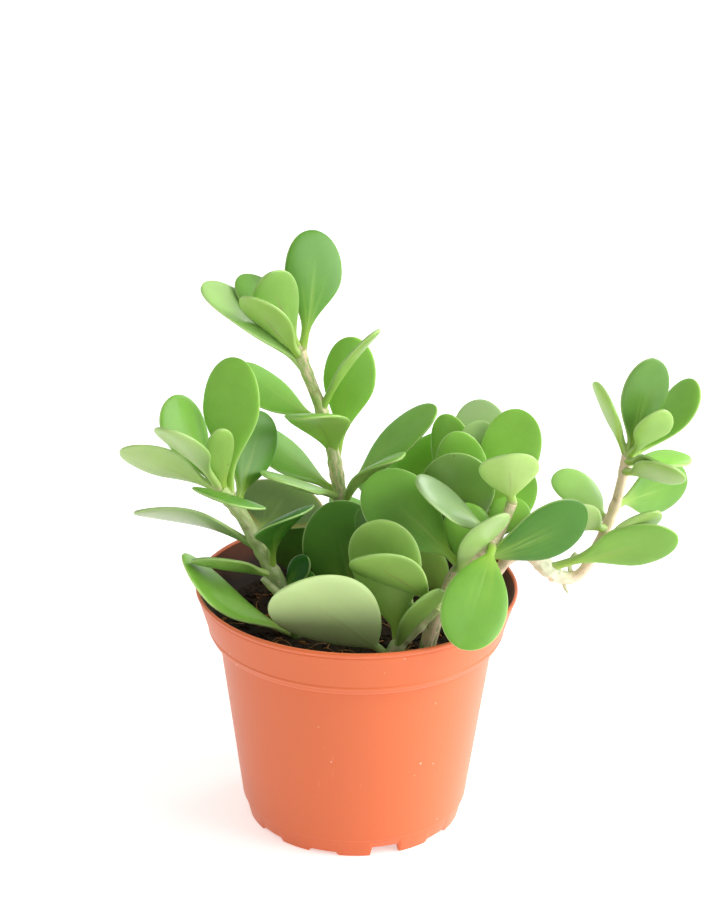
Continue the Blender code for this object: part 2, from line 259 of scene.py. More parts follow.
def makeLeafMaterial():
    material, tree, skin = newMaterial("leafSkin")
    across, share, side = splitVector(tree, attributeNode(tree, "leafPlace"))
    tone, ribTone, bloomAndSheen = splitVector(tree, attributeNode(tree, "leafTone"))
    edge = attributeNode(tree, "leafEdge", "Fac")
    where = objectPlace(tree)
    mottle = useGroup(tree, mottleGroup, {"Vector": where, **leafLook["mottle"]})

    # tone mixes deep green to pale green: partly each leaf's own colour, partly painted shade on
    # leaves that sit in shade and painted light on lit ones, and the pale under colours partly
    # paint light on the undersides
    upper = mixColour(tree, tone, leafLook["upperDark"], leafLook["upperBright"])
    under = mixColour(tree, tone, leafLook["underDark"], leafLook["underBright"])
    colour = mixColour(tree, stepNode(tree, side, -0.35, 0.25), under, upper)
    colour = shadeColour(tree, colour, mottle["Value"])

    # some leaves carry a pale bloom, partly a real dusty bloom and partly painted sheen and light,
    # and one is olive with a straw-coloured rim
    bloomAndSheenShare = times(tree, mathNode(tree, "MAXIMUM", bloomAndSheen, 0.0), leafLook["bloomSheenStrength"])
    colour = mixColour(tree, bloomAndSheenShare, colour, leafLook["bloomAndSheen"])
    aged = times(tree, mathNode(tree, "MINIMUM", bloomAndSheen, 0.0), -leafLook["bloomSheenStrength"])
    colour = mixColour(tree, aged, colour, leafLook["olive"])
    agedRim = times(tree, aged, stepNode(tree, edge, leafLook["oliveRimWidth"], 0.3))
    colour = mixColour(tree, agedRim, colour, leafLook["oliveRim"])

    # soft streaks run up the blade and fan out from the petiole, others on leaves of another tone
    offset = mathNode(tree, "ABSOLUTE", across)
    fanPlace = addNode(tree, "ShaderNodeCombineXYZ", {
        "X": times(tree, across, 3.2), "Y": times(tree, share, 1.1),
        "Z": times(tree, tone, 37.0)}).outputs[0]
    streak = noiseNode(tree, fanPlace, 1.6, 3.0, 0.55)
    fan = times(tree, stepNode(tree, share, 0.85, 0.25), stepNode(tree, offset, 0.75, 0.1))
    fan = times(tree, fan, stepNode(tree, streak, 0.38, 0.7, 0.05, 0.42))
    colour = mixColour(tree, fan, colour, leafLook["neck"])

    # the midrib, brownish on some of the leaves, fades towards the tip
    ribWidth = stepNode(tree, offset, leafLook["ribWidth"], 0.01)
    rib = times(tree, ribWidth, stepNode(tree, share, 0.8, 0.45))
    colour = mixColour(tree, times(tree, rib, 0.1), colour, leafLook["margin"])
    colour = mixColour(tree, times(tree, rib, ribTone), colour, leafLook["rib"])

    # greener towards the petiole, less so under the pale bloom and its painted sheen, and
    # straw-coloured at the stem
    neck = minus(tree, 0.8, times(tree, bloomAndSheenShare, 0.9))
    neck = times(tree, stepNode(tree, share, leafLook["neckShare"], 0.06), neck)
    colour = mixColour(tree, neck, colour, leafLook["neck"])
    foot = stepNode(tree, share, leafLook["footShare"], 0.02)
    colour = mixColour(tree, foot, colour, leafLook["foot"])
    # a pale line along the margin: partly the leaf's own pale edge, partly painted rim light where
    # light shines through the edge
    rim = stepNode(tree, edge, leafLook["rimWidth"], 0.05)
    rim = times(tree, rim, stepNode(tree, streak, 0.3, 0.7, 0.4, 0.7))
    colour = mixColour(tree, rim, colour, leafLook["margin"])

    pores = useGroup(tree, speckGroup, {"Vector": where, **leafLook["pores"]})["Mask"]
    colour = mixColour(tree, times(tree, pores, 0.1), colour, leafLook["pore"])
    blemish = useGroup(tree, speckGroup, {"Vector": where, **leafLook["blemishes"]})["Mask"]
    blemish = stepNode(tree, blemish, 0.1, 0.6, 0.0, 0.7)
    colour = mixColour(tree, blemish, colour, leafLook["blemish"])
    tree.links.new(colour, skin["Base Color"])

    gloss = times(tree, minus(tree, mottle["Grain"], 0.5), 0.35)
    rough = mathNode(tree, "ADD", gloss, leafLook["roughness"], clamp=True)
    tree.links.new(rough, skin["Roughness"])
    waxy = plus(tree, times(tree, bloomAndSheenShare, leafLook["bloomCoat"]), leafLook["coat"])
    tree.links.new(waxy, skin["Coat Weight"])
    setValues(skin, {
        "Specular IOR Level": leafLook["specular"],
        "Coat Roughness": 0.2,
        "Subsurface Weight": leafLook["subsurface"],
        "Subsurface Radius": (0.5, 1.0, 0.2),
        "Subsurface Scale": leafLook["subsurfaceReach"],
    })

    relief = plus(tree, mottle["Grain"], times(tree, pores, 0.5))
    relief = minus(tree, relief, times(tree, rib, 0.9))
    tree.links.new(bumpNode(tree, relief, 0.25, leafLook["relief"]), skin["Normal"])
    return material


# stem bark. stemPlace holds the turn round the stem, the distance along in mm and the age
# (0 foot to 1 tip), stemTone (blush, pale, scar)

stemLook = {
    # dark green at the foot: partly the stem's own colour, partly painted shade among the leaves
    "oldAndShaded": (0.07, 0.18, 0.02),
    "straw": (0.64, 0.69, 0.37),
    "olive": (0.24, 0.4, 0.09),
    "young": (0.46, 0.6, 0.2),
    "blush": (0.98, 0.7, 0.54),
    "pale": (0.82, 0.84, 0.6),
    "scar": (0.3, 0.2, 0.1),
    "flecks": {"Scale": 950.0, "Size": 0.42, "Share": 0.35},
    "smoothest": 0.36,
    "subsurface": 0.12,
    "subsurfaceReach": 1.2 * mm,
    "relief": 0.25 * mm,
}


def makeStemMaterial():
    material, tree, bark = newMaterial("stemBark")
    turn, reach, age = splitVector(tree, attributeNode(tree, "stemPlace"))
    blush, pale, scar = splitVector(tree, attributeNode(tree, "stemTone"))
    where = objectPlace(tree)

    # streaks run along the stem, so the pattern is stretched that way
    angle = times(tree, turn, math.tau)
    streakPlace = addNode(tree, "ShaderNodeCombineXYZ", {
        "X": mathNode(tree, "COSINE", angle), "Y": mathNode(tree, "SINE", angle),
        "Z": times(tree, reach, 0.09)}).outputs[0]
    streak = noiseNode(tree, streakPlace, 2.4, 4.0, 0.6, 0.4)
    patch = noiseNode(tree, where, 120.0, 3.0, 0.55)

    # stems with more blush turn straw-coloured further down. The dark green towards the foot is
    # partly the stem's own colour and partly painted shade among the leaves
    ripe = stepNode(tree, plus(tree, times(tree, blush, 0.35), age), 0.25, 0.7)
    colour = mixColour(tree, ripe, stemLook["oldAndShaded"], stemLook["straw"])
    stripes = stepNode(tree, streak, 0.42, 0.66, 0.0, 0.7)
    colour = mixColour(tree, stripes, colour, stemLook["olive"])
    green = plus(tree, times(tree, age, 0.5), patch)
    colour = mixColour(tree, stepNode(tree, green, 0.75, 1.2), colour, stemLook["young"])
    warm = stepNode(tree, minus(tree, streak, times(tree, blush, 0.3)), 0.42, 0.26)
    colour = mixColour(tree, times(tree, warm, 0.8), colour, stemLook["blush"])

    flecks = useGroup(tree, speckGroup, {"Vector": where, **stemLook["flecks"]})["Mask"]
    colour = mixColour(tree, times(tree, flecks, 0.3), colour, stemLook["scar"])
    colour = mixColour(tree, times(tree, scar, 0.45), colour, stemLook["scar"])
    colour = mixColour(tree, pale, colour, stemLook["pale"])
    tree.links.new(colour, bark["Base Color"])

    tree.links.new(plus(tree, times(tree, streak, 0.25), stemLook["smoothest"]), bark["Roughness"])
    setValues(bark, {
        "Subsurface Weight": stemLook["subsurface"],
        "Subsurface Radius": (1.0, 0.8, 0.4),
        "Subsurface Scale": stemLook["subsurfaceReach"],
    })
    relief = minus(tree, plus(tree, streak, patch), flecks)
    tree.links.new(bumpNode(tree, relief, 0.5, stemLook["relief"]), bark["Normal"])
    return material


potLook = {
    "plastic": (0.74, 0.148, 0.036),
    "worn": (0.84, 0.34, 0.2),
    # the inside is the same plastic, darkened: painted shade
    "inside": (0.13, 0.032, 0.01),
    # darker towards the soil: painted shade, with some soil stain
    "shadeAndStain": (0.03, 0.017, 0.01),
    "speck": (0.92, 0.6, 0.46),
    "mottle": {"Broad Scale": 28.0, "Fine Scale": 1200.0, "Broad": 0.08, "Fine": 0.06},
    "scuffs": {"Scale": 430.0, "Size": 0.24, "Share": 0.1},
    "shadeStainTop": 100 * mm,
    "shadeStainFull": 88 * mm,
    "roughness": 0.42,
    "insideSpecular": 0.2,
    "sheen": 0.15,
    "subsurface": 0.08,
    "subsurfaceReach": 1.5 * mm,
    "relief": 0.1 * mm,
}


def makePotMaterial(name, base, shadedAndStained):
    material, tree, plastic = newMaterial(name)
    where = objectPlace(tree)
    mottle = useGroup(tree, mottleGroup, {"Vector": where, **potLook["mottle"]})
    colour = shadeColour(tree, base, mottle["Value"])
    if shadedAndStained:
        # the wall darkens towards the soil: painted shade deep in the pot, together with some soil
        # stain
        height = splitVector(tree, where)[2]
        patch = times(tree, noiseNode(tree, where, 130.0, 4.0, 0.6), 16 * mm)
        line = plus(tree, height, patch)
        shadeAndStain = stepNode(tree, line, potLook["shadeStainTop"], potLook["shadeStainFull"])
        colour = mixColour(tree, shadeAndStain, colour, potLook["shadeAndStain"])
        setValues(plastic, {"Specular IOR Level": potLook["insideSpecular"]})

    # scuffs gather in bands, so their share follows a slow noise
    scuffBand = stepNode(tree, noiseNode(tree, where, 45.0, 2.0), 0.46, 0.66)
    specks = useGroup(tree, speckGroup, {"Vector": where, **potLook["scuffs"]})["Mask"]
    speckled = times(tree, specks, scuffBand)
    speckShare = stepNode(tree, speckled, 0.05, 0.5, 0.0, 0.85)
    colour = mixColour(tree, speckShare, colour, potLook["speck"])
    scratchPlace = addNode(tree, "ShaderNodeMapping", {"Vector": where, "Scale": (1.0, 1.0, 0.12)})
    scratch = stepNode(tree, noiseNode(tree, scratchPlace.outputs[0], 420.0, 2.0), 0.7, 0.78)
    worn = times(tree, times(tree, scratch, scuffBand), 0.35)
    colour = mixColour(tree, worn, colour, potLook["worn"])
    tree.links.new(colour, plastic["Base Color"])

    rough = times(tree, minus(tree, mottle["Grain"], 0.5), 0.16)
    rough = plus(tree, rough, times(tree, worn, 0.4))
    tree.links.new(plus(tree, rough, potLook["roughness"]), plastic["Roughness"])
    setValues(plastic, {
        "Sheen Weight": potLook["sheen"],
        "Subsurface Weight": potLook["subsurface"],
        "Subsurface Radius": (1.0, 0.35, 0.15),
        "Subsurface Scale": potLook["subsurfaceReach"],
    })
    relief = plus(tree, mottle["Grain"], times(tree, speckled, 1.5))
    tree.links.new(bumpNode(tree, relief, 0.18, potLook["relief"]), plastic["Normal"])
    return material


soilLook = {
    "wet": (0.012, 0.008, 0.005),
    "dry": (0.05, 0.028, 0.015),
    "crumb": (0.035, 0.02, 0.012),
    "barkDark": (0.06, 0.028, 0.012),
    "barkBright": (0.36, 0.15, 0.04),
    "fibre": (0.42, 0.26, 0.12),
    "specular": 0.2,
    "relief": 0.5 * mm,
}


def makeSoilMaterial(name, dark, bright, scale):
    material, tree, earth = newMaterial(name)
    where = objectPlace(tree)
    patch = noiseNode(tree, where, scale, 5.0, 0.65)
    grain = noiseNode(tree, where, scale * 9, 3.0, 0.7)
    shade = plus(tree, times(tree, patch, 0.7), times(tree, grain, 0.3))
    colour = mixColour(tree, stepNode(tree, shade, 0.35, 0.68), soilLook[dark], soilLook[bright])
    tree.links.new(colour, earth["Base Color"])
    tree.links.new(stepNode(tree, shade, 0.3, 0.6, 0.65, 0.95), earth["Roughness"])
    setValues(earth, {"Specular IOR Level": soilLook["specular"]})
    tree.links.new(bumpNode(tree, shade, 0.8, soilLook["relief"]), earth["Normal"])
    return material


leafSkin = makeLeafMaterial()
stemBark = makeStemMaterial()
potPlastic = makePotMaterial("potPlastic", potLook["plastic"], False)
# the pot's inside: the same plastic, darkened as painted shade
potInsideShaded = makePotMaterial("potInsideShaded", potLook["inside"], True)
soilCrust = makeSoilMaterial("soilCrust", "wet", "dry", 260.0)
soilCrumb = makeSoilMaterial("soilCrumb", "wet", "crumb", 400.0)
barkChip = makeSoilMaterial("barkChip", "barkDark", "barkBright", 300.0)
rootFibre = makeSoilMaterial("rootFibre", "barkBright", "fibre", 500.0)
print("materials made")


def placeOnPot(bm):
    # from mm round the pot's axis to metres in the frame
    bmesh.ops.scale(bm, vec=(mm, mm, mm), verts=bm.verts)
    bmesh.ops.translate(bm, vec=potAxis, verts=bm.verts)


def finishPiece(name, bm, materials, replaced=None, crease=40):
    bmesh.ops.recalc_face_normals(bm, faces=bm.faces)
    mesh = bpy.data.meshes.new(name)
    bm.to_mesh(mesh)
    bm.free()
    mesh.shade_smooth()
    mesh.set_sharp_from_angle(angle=math.radians(crease))
    for material in materials:
        mesh.materials.append(material)
    piece = bpy.data.objects.new(name, mesh)
    bpy.context.scene.collection.objects.link(piece)
    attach(piece, "root")
    if replaced:
        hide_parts(replaced)
    return piece


# pot: profile points are (radius, height, corner radius) in mm, from the middle of the
# underside up the outside, over the lip and down the inside

pot = {
    "steps": 360,
    "profile": [
        (0, 7.7, 0), (39.0, 7.7, 0.6), (39.0, 0.0, 0.3), (40.6, 0.0, 0.35), (41.9, 5.6, 0),
        (42.25, 7.2, 0.1), (42.75, 7.5, 0.2), (51.6, 74.25, 0.5), (54.3, 74.25, 0.7),
        (55.05, 76.2, 0.3), (55.35, 76.5, 0.12), (55.5, 77.2, 0.1), (55.35, 77.6, 0.12),
        (59.2, 90.4, 0.3), (59.05, 90.9, 0.15), (59.55, 91.3, 0.2), (60.0, 92.2, 0.35),
        (59.7, 93.0, 0.35), (58.75, 93.0, 0.3), (58.5, 92.0, 0.3), (53.9, 75.6, 0.6),
        (50.3, 74.3, 0.6), (41.6, 9.2, 0.8), (0, 9.2, 0),
    ],
    "cornerSteps": 4,
    "footEdge": 1.0,
    "insideLow": 10,
    "lipHeight": 92.2,
    "ledgeRadius": 54.5,
    "notchCount": 11,
    "firstNotch": 17,
    "notchWidth": 10.6,
    "notchSlope": 0.9,
    "notchHeight": 1.2,
    "drainNotchHeight": 3.4,
    "drainNotches": (0, 4, 7),
    "drainHoles": 8,
    "drainRing": 29,
    "drainRadius": 3.5,
    "drainSides": 32,
    "drainTurn": 3,
    "drainLevel": 9,
    "drainDepth": 6,
    "sliver": 0.002,
}


def roundedProfile(points, steps):
    made = []
    for i, (radius, height, corner) in enumerate(points):
        here = Vector((radius, height))
        if corner == 0 or i in (0, len(points) - 1):
            made.append(here)
            continue
        before = Vector(points[i - 1][:2]) - here
        after = Vector(points[i + 1][:2]) - here
        start = here + before.normalized() * min(corner, before.length * 0.45)
        end = here + after.normalized() * min(corner, after.length * 0.45)
        for k in range(steps + 1):
            t = k / steps
            made.append(start * (1 - t) ** 2 + here * 2 * t * (1 - t) + end * t**2)
    return made


def spinProfile(profile, steps):
    bm = bmesh.new()
    points = [bm.verts.new((point.x, 0.0, point.y)) for point in profile]
    edges = [bm.edges.new(pair) for pair in zip(points, points[1:])]
    bmesh.ops.spin(
        bm, geom=points + edges, cent=(0, 0, 0), axis=(0, 0, 1),
        angle=math.tau, steps=steps, use_merge=True)
    bmesh.ops.remove_doubles(bm, verts=bm.verts, dist=0.001)
    return bm


def notchLift(angle):
    # how far the foot's bottom edge is lifted at this angle, in mm
    spacing = 360 / pot["notchCount"]
    turned = (math.degrees(angle) + 90 - pot["firstNotch"] + spacing / 2) % 360
    index = int(turned // spacing)
    offset = abs(turned - (index + 0.5) * spacing)
    footRadius = pot["profile"][3][0]
    tall = index in pot["drainNotches"]
    height = pot["drainNotchHeight"] if tall else pot["notchHeight"]
    aside = math.radians(offset) * footRadius
    part = (pot["notchWidth"] / 2 + pot["notchSlope"] / 2 - aside) / pot["notchSlope"]
    part = max(0.0, min(1.0, part))
    return height * part * part * (3 - 2 * part)


def cutWith(piece, cutters):
    # applied here, so that no modifier or cutter is left
    cut = piece.modifiers.new("cut", "BOOLEAN")
    cut.operation = "DIFFERENCE"
    cut.solver = "MANIFOLD"
    cut.operand_type = "COLLECTION"
    cut.collection = cutters
    graph = bpy.context.evaluated_depsgraph_get()
    cutMesh = bpy.data.meshes.new_from_object(piece.evaluated_get(graph))
    piece.modifiers.clear()
    piece.data = cutMesh
    # the cut leaves slivers without area in the floor
    bm = bmesh.new()
    bm.from_mesh(cutMesh)
    bmesh.ops.triangulate(bm, faces=[face for face in bm.faces if len(face.verts) > 4])
    bmesh.ops.dissolve_degenerate(bm, dist=pot["sliver"] * mm, edges=bm.edges)
    bm.to_mesh(cutMesh)
    bm.free()
    for cutter in list(cutters.objects):
        bpy.data.objects.remove(cutter, do_unlink=True)
    bpy.data.collections.remove(cutters)


def makePot():
    bm = spinProfile(roundedProfile(pot["profile"], pot["cornerSteps"]), pot["steps"])
    for vert in bm.verts:
        if vert.co.z < pot["footEdge"]:
            vert.co.z += notchLift(math.atan2(vert.co.y, vert.co.x))
    bmesh.ops.recalc_face_normals(bm, faces=bm.faces)
    # the inner wall and the ledge take the darker inside material, which paints shade
    for face in bm.faces:
        centre = face.calc_center_median()
        inward = -face.normal.dot(Vector((centre.x, centre.y, 0)).normalized())
        ledge = face.normal.z > 0.5 and centre.xy.length < pot["ledgeRadius"]
        # the lip keeps the outside's colour
        if (inward > 0.5 or ledge) and pot["insideLow"] < centre.z < pot["lipHeight"]:
            face.material_index = 1
    placeOnPot(bm)
    piece = finishPiece("nurseryPot", bm, [potPlastic, potInsideShaded], "pot", crease=50)

    cutters = bpy.data.collections.new("drainCutters")
    bpy.context.scene.collection.children.link(cutters)
    places = [Vector((0, 0, 0))]
    for i in range(pot["drainHoles"]):
        angle = math.tau * i / pot["drainHoles"]
        places.append(Vector((math.cos(angle), math.sin(angle), 0)) * pot["drainRing"] * mm)
    level = Vector((0, 0, pot["drainLevel"])) * mm
    for i, place in enumerate(places):
        bm = bmesh.new()
        bmesh.ops.create_cone(
            bm, cap_ends=True, segments=pot["drainSides"], radius1=pot["drainRadius"] * mm,
            radius2=pot["drainRadius"] * mm, depth=pot["drainDepth"] * mm,
            matrix=Matrix.Rotation(math.radians(pot["drainTurn"]), 4, "Z"))
        bmesh.ops.translate(bm, vec=potAxis + place + level, verts=bm.verts)
        mesh = bpy.data.meshes.new(f"drainCutter{i}")
        bm.to_mesh(mesh)
        bm.free()
        cutters.objects.link(bpy.data.objects.new(f"drainCutter{i}", mesh))
    cutWith(piece, cutters)
    return piece


makePot()
print("pot made")


# shoots, in mm from the pot's axis at the floor: the points that each stem passes, its radius
# at the foot and the tip, its blush, and its leaves. A leaf is (place along the stem, heading,
# rise, roll, length, width, bend, tone, rib, bloom[, taper]): angles in degrees, tone from deep
# green to pale green, partly the leaf's own colour and partly painted shade and painted light,
# rib how brown its midrib is, bloom how dusty it is, partly a real bloom and partly painted
# sheen, or below 0 how olive.
# A knot is (place, half length). A stub is (points, radius at its start, radius at its end,
# age as on the stem, how pale it is). Most of the leaves' values, tones too, were fitted to the
# photograph by scratch programs and rounded, as report.md says

shoots = {
    "tallShoot": {
        "stem": [
            (-1, 17, 62), (-2, 17, 84), (-5, 17, 106), (-7, 18, 122), (-10, 18, 140),
            (-14, 17, 155), (-19, 15.5, 169), (-22, 14, 179)
        ],
        "radii": (3.2, 2),
        "blush": 0.4,
        "leaves": [
            (0.12, -122, 68, -126, 52, 30, 35, 0.15, 0, 0),
            (0.41, 7, 38, -142, 52, 20, 20, 1.0, 0, 0),
            (0.44, -47, 44, 8, 44, 18, 45, 0.75, 0.1, 0),
            (0.47, 13, 45, 11, 51, 20, 16, 0.7, 0.1, 0),
            (0.48, -138, 27, 177, 42, 18, -3, 0.85, 0, 0.3),
            (0.49, 163, 33, 171, 42, 21, 8, 0.65, 0, 0),
            (0.56, -118, 50, 13, 41, 24, 86, 0.85, 0.2, 0, 2),
            (0.6, 50, 77, -153, 48, 20, 28, 1.0, 0.1, 0, 2.2),
            (0.74, 156, 25, 171, 40, 20.5, 34, 0.7, 0, 0),
            (0.78, -31, 56, 3, 43, 13, 22, 0.65, 0.1, 0, 1.9),
            (0.92, -175, 41, -19, 51, 20.5, 28, 1.0, 0.1, 0.4),
            (0.97, -135, 48, 13, 40, 18, 6, 0.7, 0.5, 0),
            (0.98, 75, 64, 36, 46, 22.5, 25, 0.35, 0, 0, 2),
            (0.99, -145, 67, 86, 35, 19, 36, 0.4, 0.6, 0),
            (1, 154, 44, -4, 35, 21, 15, 0.6, 0, 0, 1.6),
            (0.15, 170, 37, 78, 40, 26, 30, 0.2, 0, 0, 1.2),
        ],
    },
    "leftShoot": {
        "stem": [
            (-21, -9, 62), (-22, -9, 78), (-27, -8, 93), (-31, -8, 100), (-35, -8, 109),
            (-39, -9, 117), (-42, -9, 123), (-46, -10, 129), (-50, -11, 134)
        ],
        "radii": (3.2, 2.4),
        "blush": 0.0,
        "stubs": [
            ([(-25, -9.5, 88), (-28, -10, 92), (-31.5, -10, 95.5), (-34.4, -10, 98.7)],
             2.3, 1.3, 0.9, 0.1),
        ],
        "leaves": [
            (0.17, -165, 40, 167, 56, 23.5, 30, 1.0, 0, 0),
            (0.49, -145, 23, 26, 36, 18, 3, 0.35, 0.1, 0),
            (0.5, -67, 50, 16, 46, 23.5, 62, 0.05, 0.1, 0, 2.4),
            (0.7, 76, 5, -166, 46, 35, 16, 0.5, 0, -0.9, 1.6),
            (0.62, -165, 23, 35, 51, 18, 40, 0.2, 0.1, 0.6, 1.6),
            (0.93, -89, 22, -16, 38, 27, 16, 0.4, 0.1, 0, 2),
            (0.87, 71, 45, -129, 39, 20, 11, 0.35, 0.1, 0),
            (0.93, 87, 68, -17, 52, 22.5, 8, 1.0, 0, 0, 1.9),
            (0.97, -90, 77, 32, 28, 11.5, 16, 0.6, 0.2, 0),
            (0.98, -170, 27, 48, 41, 20, 20, 0.75, 0.1, 0.4),
            (1, 140, 54, 179, 38, 21, 37, 0.75, 0.1, 0),
            (1, -124, 47, 3, 45, 19, 19, 0.65, 0.1, 0.3, 2.6),
            (0.38, 10, 62, 40, 17, 9, 15, 0.0, 0, 0),
            (0.32, 35, 52, 20, 15, 10, 15, 0.2, 0, 0),
        ],
    },
    "frontShoot": {
        "stem": [
            (12, -33, 62), (12, -33, 76), (15.5, -33.5, 84), (22, -34, 92), (28.8, -34, 99.7)
        ],
        "radii": (3, 2.4),
        "blush": 0.1,
        "leaves": [
            (0.37, -156, 41, 56, 54, 37.5, 21, 1.0, 0.1, 0.75, 0.75),
            (0.3, -28, 61, -25, 40, 14.5, 16, 0.5, 0, 0, 1.7),
            (0.77, 136, 52, 103, 47, 18, 16, 0.15, 0.1, 0),
            (0.5, -165, 79, 66, 51, 26, 23, 0.6, 0, 0, 1),
            (1, -150, 39, 38, 41, 24, 28, 0.5, 0.5, 0, 1),
        ],
    },
    "rightShoot": {
        "stem": [
            (24, -24, 62), (26, -24, 78), (29, -23, 90), (34, -23.5, 104), (38, -24, 111),
            (44, -24, 116), (49, -22, 120), (52.5, -20, 126.5), (55, -19.5, 134)
        ],
        "radii": (3.4, 1.8),
        "blush": 0.7,
        "leaves": [
            (0.546, -44, 56, -7, 39, 18.5, 16, 0.5, 0, 0.3),
            (0.591, 70, 58, 22, 26, 17, 12, 1.0, 0, 0),
            (0.617, 173, 42, -60, 47, 25.5, 38, 0.55, 0, 0),
            (0.653, 12, 22, 101, 47, 23.5, 27, 0.2, 0, 0),
            (0.805, -108, -30, -23, 47, 23.5, 27, 0.6, 0, 0, 0.9),
            (1, -110, 66, 19, 24, 21.5, 16, 0.9, 0.2, 0.2, 1),
            (0.805, 50, 40, 15, 19, 15, 12, 1.0, 0, 0),
            (0.823, -157, 41, -27, 42, 18, 7, 0.05, 0.1, 0.4),
        ],
    },
    "crownShoot": {
        "stem": [
            (34, 2, 62), (36, 2, 80), (40, 1, 95), (44, 0, 107), (49, 0, 117)
        ],
        "radii": (3, 2.2),
        "blush": 0.5,
        "leaves": [
            (0.7, 37, 50, 48, 41, 19, 12, 1.0, 0, 0),
            (0.78, -135, 69, -137, 47, 27, 14, 0.35, 0, 0, 1.5),
            (0.8, 128, 66, 121, 52, 18, 12, 1.0, 0, 0, 1.5),
            (0.84, -175, 76, -89, 46, 19, 12, 0.85, 0, 0),
            (0.9, 108, 79, -18, 44, 19, 12, 1.0, 0, 0.6, 1.35),
            (0.94, 97, 63, -8, 49, 22, 12, 0.5, 0, 0.6, 1.35),
            (0.98, 23, 75.5, 64, 46, 22, 12, 1.0, 0, 0, 1.1),
            (0.42, 176, 45, 75, 28, 20, 12, 1.0, 0, 0, 1.2),
        ],
    },
    "trailingShoot": {
        "stem": [
            (44, -7, 62), (45, -7, 78), (48.5, -6.5, 93), (53.5, -6, 103.5), (60, -5, 107.5),
            (66.5, -4, 104.8), (72, -3, 99.6), (77, -2, 96.8), (82, -1, 97.5), (86, 0, 102.5),
            (89.5, 1, 110), (93.5, 3, 120), (96, 4, 129), (98.4, 5, 144)
        ],
        "radii": (2.2, 1.8),
        "blush": 1.0,
        "knot": (0.51, 8.5),
        "stubs": [
            ([(75, -1, 98), (76.5, -1, 95.5), (77.5, -2, 92.5), (78.5, -2.3, 91)],
             1.3, 0.5, 0.3, 0.7),
            ([(81, 0, 106), (79.4, 0, 103.5), (79, 0, 99.5), (81, 0, 96.5)],
             0.9, 0.9, 0.6, 0.55),
        ],
        "leaves": [
            (0.498, -17, 24, 118, 51, 22, -7, 0.75, 0.1, 0, 2.2),
            (0.711, -45, 40, -19, 34, 16, -15, 0.55, 0, 0),
            (0.764, -140, 31, -131, 27, 16, 21, 0.7, 0, 0.4),
            (0.79, 119, 18, -177, 32, 19, 25, 1.0, 0, 0.2, 1.2),
            (0.833, 41, 0, -89, 40, 22, 26, 0.55, 0, 0, 1.3),
            (0.949, -55, 19, 140, 31, 17.5, 9, 0.55, 0, 0),
            (0.97, 28, -5, 4, 29, 14, 6, 0.95, 0, 0),
            (0.98, 24, 46, -172, 39, 18, 34, 1.0, 0, 0),
            (0.985, -17, 79, 133, 40.5, 20, 7, 0.2, 0, 0),
            (0.99, -43, 57, 158, 26, 15.5, 30, 0.6, 0, 0, 2.6),
            (0.995, 173, 65, 24, 31, 17, 4, 1.0, 0.1, 0),
            (0.975, -58, 12, -41, 25, 12.5, 13, 0.55, 0, 0),
        ],
    },
    "rearShoot": {
        "stem": [
            (14, 34, 62), (14, 35, 76), (16, 40, 86), (20, 45, 93), (25, 50, 99)
        ],
        "radii": (2.6, 2),
        "blush": 0.3,
        "leaves": [
            (0.6, 152, 16, 10, 32, 19, 20, 0.4, 0, 0),
            (0.68, 92, 12, -10, 40, 21, 25, 0.3, 0.1, 0),
            (0.7, 20, 14, 15, 35, 19, 20, 0.4, 0, 0),
            (0.78, 168, 22, 5, 34, 19, 15, 0.5, 0.1, 0),
            (0.86, 64, 20, 15, 40, 20, 20, 0.45, 0, 0),
            (0.9, 122, 18, -15, 38, 20, 20, 0.5, 0.2, 0),
            (0.95, 20, 28, 10, 34, 18, 15, 0.6, 0, 0),
            (1, 88, 42, 0, 26, 14, 12, 0.85, 0.1, 0),
        ],
    },
}

stemShape = {
    "sides": 16,
    "step": 1.0,
    "nodeSwell": 0.16,
    "nodeReach": 1.7,
    "scarDepth": 0.12,
    "firstScar": 16.0,
    "scarSpacing": 7.5,
    "scarEnd": 6,
    "scarClearance": 3,
    "scarHeight": 0.7,
    "scarWidth": 0.9,
    "scarBow": 0.6,
    "unevenness": 0.05,
    "knotSwell": 0.5,
    "knotLumps": 0.7,
    "stubSides": 10,
    "stubStep": 0.6,
}


def smoothPath(points, step):
    # even steps along a Catmull-Rom curve through the points
    ends = [2 * points[0] - points[1], *points, 2 * points[-1] - points[-2]]
    dense = []
    for a, b, c, d in zip(ends, ends[1:], ends[2:], ends[3:]):
        for i in range(20):
            t = i / 20
            dense.append(
                0.5 * (2 * b + (c - a) * t + (2 * a - 5 * b + 4 * c - d) * t**2
                       + (3 * b - a - 3 * c + d) * t**3))
    dense.append(points[-1])
    reach = [0.0]
    for a, b in zip(dense, dense[1:]):
        reach.append(reach[-1] + (b - a).length)
    length = reach[-1]
    count = max(2, round(length / step))
    path = []
    i = 1
    for k in range(count + 1):
        target = length * k / count
        while i < len(reach) - 1 and reach[i] < target:
            i += 1
        part = (target - reach[i - 1]) / (reach[i] - reach[i - 1])
        path.append(dense[i - 1].lerp(dense[i], part))
    return path, length


def directionAt(path, i):
    return (path[min(i + 1, len(path) - 1)] - path[max(i - 1, 0)]).normalized()


